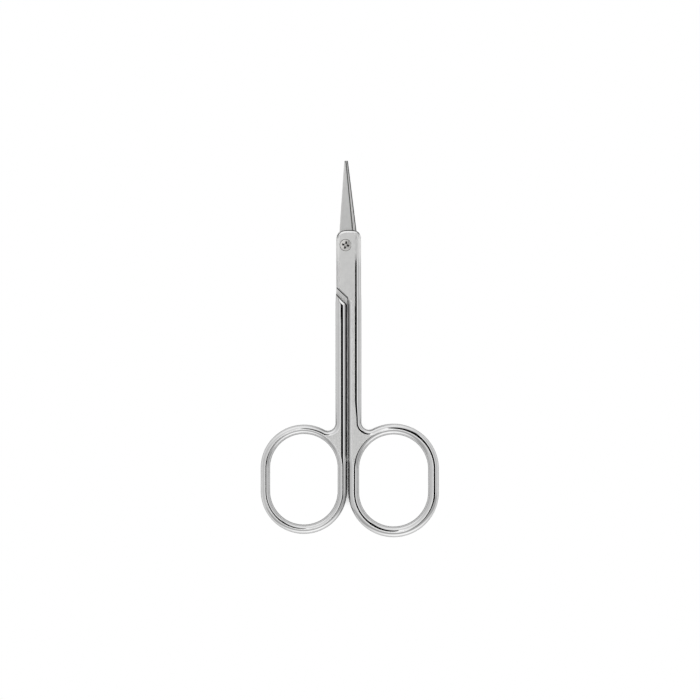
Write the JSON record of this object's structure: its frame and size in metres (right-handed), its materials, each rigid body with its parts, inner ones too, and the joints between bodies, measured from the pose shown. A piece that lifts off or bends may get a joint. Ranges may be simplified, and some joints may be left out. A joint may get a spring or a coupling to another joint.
{
  "type": "cuticle scissors",
  "caption": "Small curved-blade cuticle scissors: two forged steel halves with racetrack finger rings, lapped on one pivot screw.",
  "frame": {"origin": "on the pivot's axis, on the surface that the closed pair lies on", "axes": "+Y towards the blade tips, +Z along the pivot's axis towards the screw's head, +X towards the front half's finger ring"},
  "size_m": [0.045, 0.0949, 0.0044],
  "materials": {
    "plated_steel": "nickel-plated, satin-ground flats and blades, polished round edges",
    "screw_steel": "polished"
  },
  "bodies": {
    "back": {"back_half": "plated_steel", "pivot_screw": "screw_steel"},
    "front": {"front_half": "plated_steel"}
  },
  "joints": [
    {"name": "pivot", "type": "hinge", "parent": "back", "child": "front", "pos_m": [0, 0, 0.0015], "axis": [0, 0, 1], "range_deg": [0, 90]}
  ]
}
